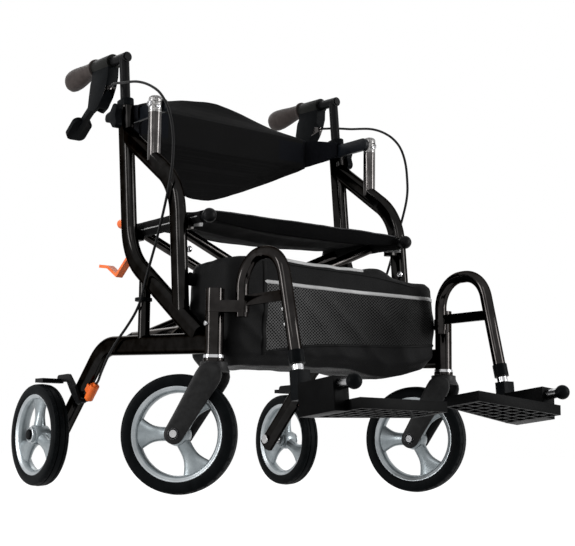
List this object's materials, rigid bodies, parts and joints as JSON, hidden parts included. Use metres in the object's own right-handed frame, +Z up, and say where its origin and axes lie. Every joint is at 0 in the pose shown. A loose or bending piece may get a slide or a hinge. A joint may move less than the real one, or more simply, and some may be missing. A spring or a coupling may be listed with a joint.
{
  "type": "rollator transport chair",
  "caption": "Folding transport chair and rollator with sling seat, flip-over back belt, under-seat bag, loop brakes, casters and swing-away footrests",
  "frame": {"origin": "on the floor under the middle of the outline", "axes": "+Z up, the front of the chair faces -Y, the occupant's right is -X"},
  "size_m": [0.7078, 1.0086, 0.8617],
  "materials": {
    "frame_black": "gloss near-black paint",
    "matt_black_metal": "satin black",
    "dark_chrome": "gloss dark chrome",
    "bright_chrome": "polished",
    "steel": "plain steel",
    "charcoal_plastic": "moulded charcoal plastic",
    "grip_taupe": "soft grip",
    "cable_rubber": "smooth jacket",
    "orange_plastic": "moulded orange plastic",
    "rim_silver": "satin silver-grey",
    "tyre_black": "black rubber",
    "seat_cloth": "woven black nylon",
    "bag_cloth": "black nylon with a mesh front"
  },
  "bodies": {
    "right_frame": {"lower_rail_r": "frame_black", "upright_r": "frame_black", "arm_tube_r": "frame_black", "caster_head_r": "dark_chrome", "rear_axle_r": "steel", "height_collar_r": "charcoal_plastic", "brake_cable_r": "cable_rubber", "cable_adjuster_r": "orange_plastic", "fold_hook": "orange_plastic", "storage_bag": "bag_cloth"},
    "handle_r": {"handle_post_r": "matt_black_metal", "hand_grip_r": "grip_taupe", "brake_housing_r": "charcoal_plastic"},
    "lever_r": {"brake_lever_r": "charcoal_plastic"},
    "knob_r": {"height_knob_r": "charcoal_plastic"},
    "brake_r": {"brake_arm_r": "matt_black_metal"},
    "rear_wheel_r": {"rear_rim_r": "rim_silver", "rear_tyre_r": "tyre_black"},
    "caster_r": {"caster_fork_r": "matt_black_metal", "front_axle_r": "steel"},
    "front_wheel_r": {"front_rim_r": "rim_silver", "front_tyre_r": "tyre_black"},
    "backrest_r": {"backrest_arm_r": "matt_black_metal", "back_belt": "seat_cloth"},
    "socket_r": {"footrest_pin_r": "steel"},
    "hanger_r": {"footrest_hanger_r": "dark_chrome"},
    "leg_r": {"leg_extension_r": "bright_chrome"},
    "plate_r": {"footplate_r": "charcoal_plastic"},
    "button_r": {"release_button_r": "charcoal_plastic"},
    "left_frame": {"lower_rail_l": "frame_black", "upright_l": "frame_black", "arm_tube_l": "frame_black", "caster_head_l": "dark_chrome", "rear_axle_l": "steel", "height_collar_l": "charcoal_plastic", "brake_cable_l": "cable_rubber", "cable_adjuster_l": "orange_plastic"},
    "handle_l": {"handle_post_l": "matt_black_metal", "hand_grip_l": "grip_taupe", "brake_housing_l": "charcoal_plastic"},
    "lever_l": {"brake_lever_l": "charcoal_plastic"},
    "knob_l": {"height_knob_l": "charcoal_plastic"},
    "brake_l": {"brake_arm_l": "matt_black_metal"},
    "rear_wheel_l": {"rear_rim_l": "rim_silver", "rear_tyre_l": "tyre_black"},
    "caster_l": {"caster_fork_l": "matt_black_metal", "front_axle_l": "steel"},
    "front_wheel_l": {"front_rim_l": "rim_silver", "front_tyre_l": "tyre_black"},
    "backrest_l": {"backrest_arm_l": "matt_black_metal"},
    "socket_l": {"footrest_pin_l": "steel"},
    "hanger_l": {"footrest_hanger_l": "dark_chrome"},
    "leg_l": {"leg_extension_l": "bright_chrome"},
    "plate_l": {"footplate_l": "charcoal_plastic"},
    "button_l": {"release_button_l": "charcoal_plastic"},
    "cross_a": {"brace_a": "dark_chrome", "seat_rail_l": "matt_black_metal"},
    "cross_b": {"brace_b": "dark_chrome", "seat_rail_r": "matt_black_metal", "seat_sling": "seat_cloth"}
  },
  "joints": [
    {"name": "fold", "type": "hinge", "parent": "right_frame", "child": "cross_a", "pos_m": [-0.21203, 0.0797, 0.288], "axis": [0, -1, 0], "range_deg": [0, 47], "deforming": ["seat_sling", "back_belt", "storage_bag"]},
    {"name": "brace_cross", "type": "hinge", "parent": "cross_a", "child": "cross_b", "pos_m": [0.02047, 0.0797, 0.389], "axis": [0, -1, 0], "range_deg": [-94, 0]},
    {"name": "frame_shift", "type": "hinge", "parent": "cross_b", "child": "left_frame", "pos_m": [0.25297, 0.0797, 0.288], "axis": [0, -1, 0], "range_deg": [0, 47]},
    {"name": "handle_height_r", "type": "slide", "parent": "right_frame", "child": "handle_r", "axis": [0, 0.1132, 0.9936], "range_m": [-0.03, 0.09], "deforming": ["brake_cable_r"]},
    {"name": "knob_turn_r", "type": "hinge", "parent": "right_frame", "child": "knob_r", "pos_m": [-0.26453, 0.1698, 0.712], "axis": [-1, 0, 0], "range_deg": [0, 720]},
    {"name": "brake_squeeze_r", "type": "hinge", "parent": "handle_r", "child": "lever_r", "pos_m": [-0.24253, 0.28062, 0.76932], "axis": [1, 0, 0], "range_deg": [0, 15], "stiffness_Nm_per_rad": 4},
    {"name": "brake_press_r", "type": "hinge", "parent": "right_frame", "child": "brake_r", "pos_m": [-0.25753, 0.3187, 0.19], "axis": [-1, 0, 0], "range_deg": [0, 1.5]},
    {"name": "rear_spin_r", "type": "hinge", "parent": "right_frame", "child": "rear_wheel_r", "pos_m": [-0.28753, 0.4027, 0.1016], "axis": [1, 0, 0], "continuous": true},
    {"name": "caster_swivel_r", "type": "hinge", "parent": "right_frame", "child": "caster_r", "pos_m": [-0.24553, -0.1613, 0.235], "axis": [0, 0, 1], "continuous": true},
    {"name": "front_spin_r", "type": "hinge", "parent": "caster_r", "child": "front_wheel_r", "pos_m": [-0.28306, -0.11577, 0.1016], "axis": [0.7716, 0.6361, 0], "continuous": true},
    {"name": "backrest_flip_r", "type": "hinge", "parent": "right_frame", "child": "backrest_r", "pos_m": [-0.22953, 0.0597, 0.718], "axis": [1, 0, 0], "range_deg": [0, 180]},
    {"name": "footrest_lift_r", "type": "slide", "parent": "right_frame", "child": "socket_r", "axis": [0, 0, 1], "range_m": [0, 0.06]},
    {"name": "footrest_swing_r", "type": "hinge", "parent": "socket_r", "child": "hanger_r", "pos_m": [-0.24553, -0.1613, 0.32], "axis": [0, 0, 1], "range_deg": [-100, 0]},
    {"name": "leg_length_r", "type": "slide", "parent": "hanger_r", "child": "leg_r", "axis": [0, -0.248, -0.9688], "range_m": [0, 0.07]},
    {"name": "plate_flip_r", "type": "hinge", "parent": "leg_r", "child": "plate_r", "pos_m": [-0.21053, -0.4918, 0.181], "axis": [0, -0.9945, 0.1045], "range_deg": [0, 100]},
    {"name": "footrest_release_r", "type": "slide", "parent": "right_frame", "child": "button_r", "axis": [1, 0, 0], "range_m": [0, 0.003], "stiffness_N_per_m": 600},
    {"name": "handle_height_l", "type": "slide", "parent": "left_frame", "child": "handle_l", "axis": [0, 0.1132, 0.9936], "range_m": [-0.03, 0.09], "deforming": ["brake_cable_l"]},
    {"name": "knob_turn_l", "type": "hinge", "parent": "left_frame", "child": "knob_l", "pos_m": [0.30547, 0.1698, 0.712], "axis": [1, 0, 0], "range_deg": [0, 720]},
    {"name": "brake_squeeze_l", "type": "hinge", "parent": "handle_l", "child": "lever_l", "pos_m": [0.28347, 0.28062, 0.76932], "axis": [1, 0, 0], "range_deg": [0, 15], "stiffness_Nm_per_rad": 4},
    {"name": "brake_press_l", "type": "hinge", "parent": "left_frame", "child": "brake_l", "pos_m": [0.29847, 0.3187, 0.19], "axis": [-1, 0, 0], "range_deg": [0, 1.5]},
    {"name": "rear_spin_l", "type": "hinge", "parent": "left_frame", "child": "rear_wheel_l", "pos_m": [0.32847, 0.4027, 0.1016], "axis": [1, 0, 0], "continuous": true},
    {"name": "caster_swivel_l", "type": "hinge", "parent": "left_frame", "child": "caster_l", "pos_m": [0.28647, -0.1613, 0.235], "axis": [0, 0, 1], "continuous": true},
    {"name": "front_spin_l", "type": "hinge", "parent": "caster_l", "child": "front_wheel_l", "pos_m": [0.26247, -0.1074, 0.1016], "axis": [0.9135, 0.4067, 0], "continuous": true},
    {"name": "backrest_flip_l", "type": "hinge", "parent": "left_frame", "child": "backrest_l", "pos_m": [0.27047, 0.0597, 0.718], "axis": [1, 0, 0], "range_deg": [0, 180]},
    {"name": "footrest_lift_l", "type": "slide", "parent": "left_frame", "child": "socket_l", "axis": [0, 0, 1], "range_m": [0, 0.06]},
    {"name": "footrest_swing_l", "type": "hinge", "parent": "socket_l", "child": "hanger_l", "pos_m": [0.28647, -0.1613, 0.32], "axis": [0, 0, 1], "range_deg": [0, 100]},
    {"name": "leg_length_l", "type": "slide", "parent": "hanger_l", "child": "leg_l", "axis": [0, -0.248, -0.9688], "range_m": [0, 0.07]},
    {"name": "plate_flip_l", "type": "hinge", "parent": "leg_l", "child": "plate_l", "pos_m": [0.25147, -0.4918, 0.181], "axis": [0, 0.9945, -0.1045], "range_deg": [0, 100]},
    {"name": "footrest_release_l", "type": "slide", "parent": "left_frame", "child": "button_l", "axis": [-1, 0, 0], "range_m": [0, 0.003], "stiffness_N_per_m": 600}
  ],
  "couplings": [
    {"joint": "brace_cross", "follows": "fold", "ratio": -2},
    {"joint": "frame_shift", "follows": "fold", "ratio": 1},
    {"joint": "brake_press_r", "follows": "brake_squeeze_r", "ratio": 0.09},
    {"joint": "plate_flip_r", "follows": "fold", "ratio": 2.12},
    {"joint": "brake_press_l", "follows": "brake_squeeze_l", "ratio": 0.09},
    {"joint": "plate_flip_l", "follows": "fold", "ratio": 2.12},
    {"joint": "backrest_flip_l", "follows": "backrest_flip_r", "ratio": 1}
  ]
}
